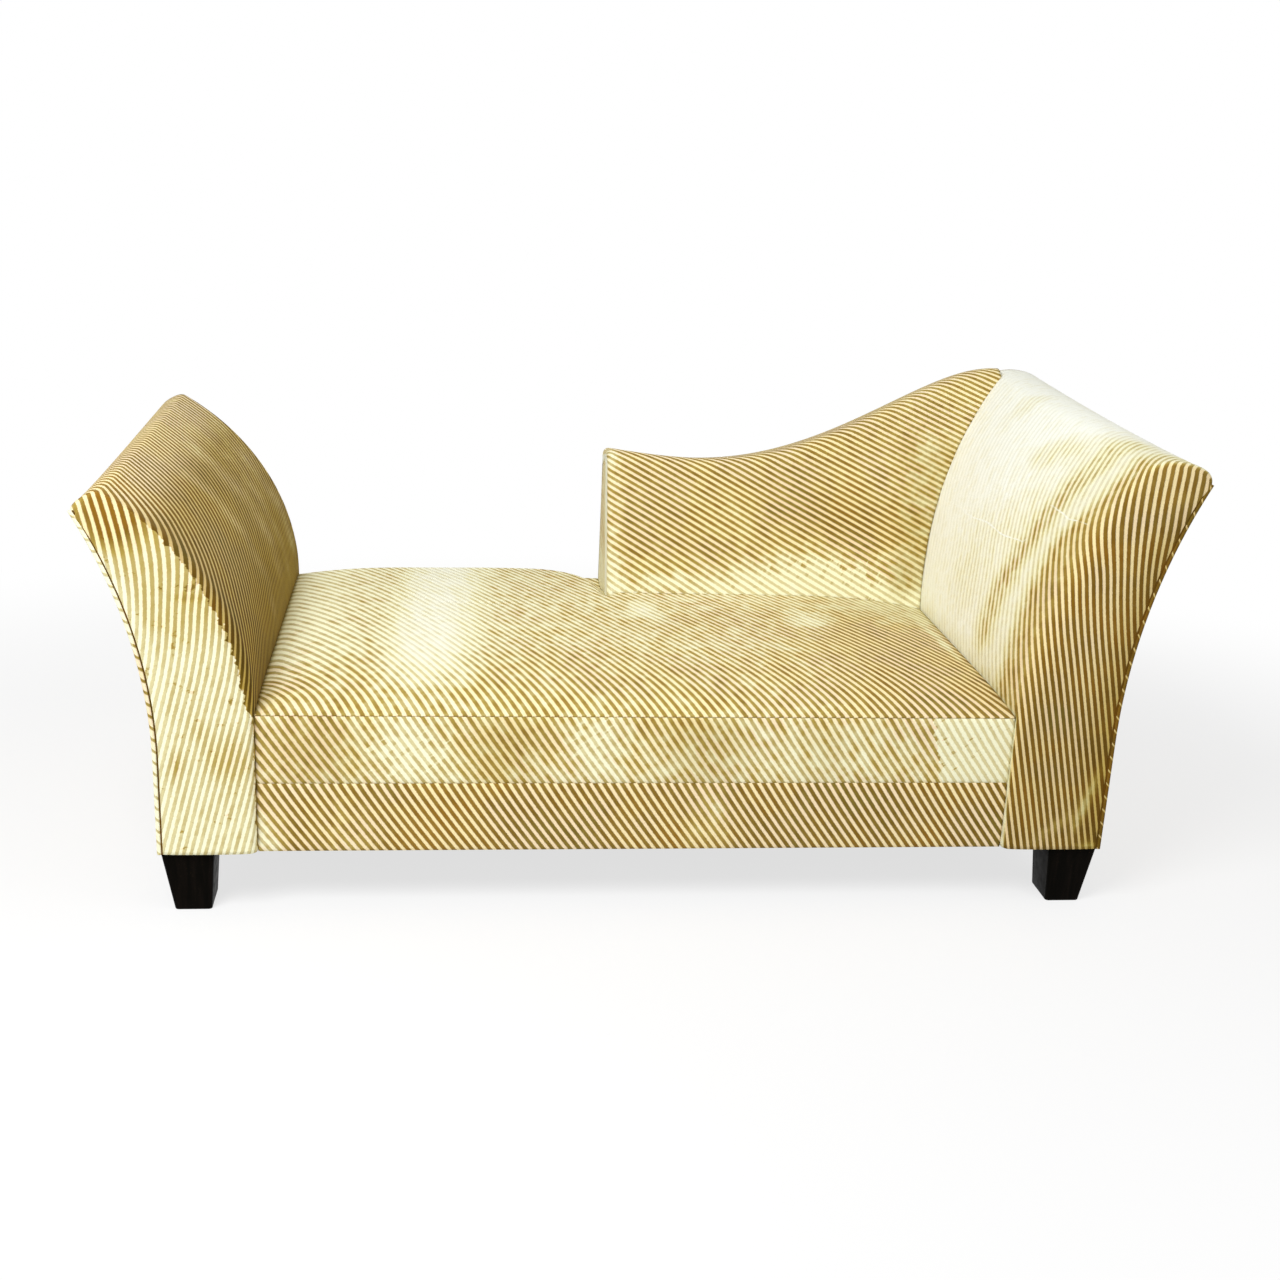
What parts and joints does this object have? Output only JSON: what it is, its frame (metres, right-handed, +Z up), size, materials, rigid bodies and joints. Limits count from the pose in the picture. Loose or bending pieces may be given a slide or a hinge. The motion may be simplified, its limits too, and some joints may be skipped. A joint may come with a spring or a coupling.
{
  "type": "recamier",
  "caption": "Upholstered recamier with rolled-out arms, a crowned tight seat and a swept partial back rising to the taller arm, on tapered wooden feet.",
  "frame": {"origin": "on the floor under the middle of the whole piece's width and depth", "axes": "+X to the right as seen by someone facing the front, towards the taller arm; +Y from the seat front to the back; +Z up"},
  "size_m": [1.999, 0.9266, 0.897],
  "materials": {
    "striped_velvet": "striped cut velvet, gold and cream, matt with a soft nap",
    "foot_finish": "near-black satin stain",
    "hardwood": "unfinished frame timber",
    "foam": "soft padding",
    "jute": "coarse natural weave",
    "dust_cloth": "black non-woven cloth",
    "bolt_steel": "zinc plated"
  },
  "bodies": {
    "root": {"back_end_post": "hardwood", "back_head_post": "hardwood", "back_lower_rail": "hardwood", "back_middle_post": "hardwood", "back_pad": "foam", "back_top_board": "hardwood", "dust_cover": "dust_cloth", "front_border": "striped_velvet", "front_rail": "hardwood", "inside_back_cover": "striped_velvet", "left_arm_base_rail": "hardwood", "left_arm_pad": "foam", "left_arm_rear_panel": "striped_velvet", "left_arm_top_rail": "hardwood", "left_arm_welt": "striped_velvet", "left_end_rail": "hardwood", "left_front_arm_post": "hardwood", "left_front_corner_block": "hardwood", "left_front_foot": "foot_finish", "left_front_hanger_bolt": "bolt_steel", "left_inside_arm_cover": "striped_velvet", "left_outside_arm_panel": "striped_velvet", "left_rear_arm_post": "hardwood", "left_rear_corner_block": "hardwood", "left_rear_foot": "foot_finish", "left_rear_hanger_bolt": "bolt_steel", "outside_back_panel": "striped_velvet", "rear_border": "striped_velvet", "rear_boxing": "striped_velvet", "rear_rail": "hardwood", "right_arm_base_rail": "hardwood", "right_arm_pad": "foam", "right_arm_rear_panel": "striped_velvet", "right_arm_top_rail": "hardwood", "right_arm_welt": "striped_velvet", "right_end_rail": "hardwood", "right_front_arm_post": "hardwood", "right_front_corner_block": "hardwood", "right_front_foot": "foot_finish", "right_front_hanger_bolt": "bolt_steel", "right_inside_arm_cover": "striped_velvet", "right_outside_arm_panel": "striped_velvet", "right_rear_arm_post": "hardwood", "right_rear_corner_block": "hardwood", "right_rear_foot": "foot_finish", "right_rear_hanger_bolt": "bolt_steel", "seat_boxing": "striped_velvet", "seat_burlap": "jute", "seat_foam": "foam", "seat_stretcher": "hardwood", "seat_top_cover": "striped_velvet", "seat_webbing_cross_1": "jute", "seat_webbing_cross_2": "jute", "seat_webbing_long_1": "jute", "seat_webbing_long_2": "jute", "seat_webbing_long_3": "jute", "seat_webbing_long_4": "jute", "seat_webbing_long_5": "jute", "seat_webbing_long_6": "jute"}
  },
  "joints": []
}
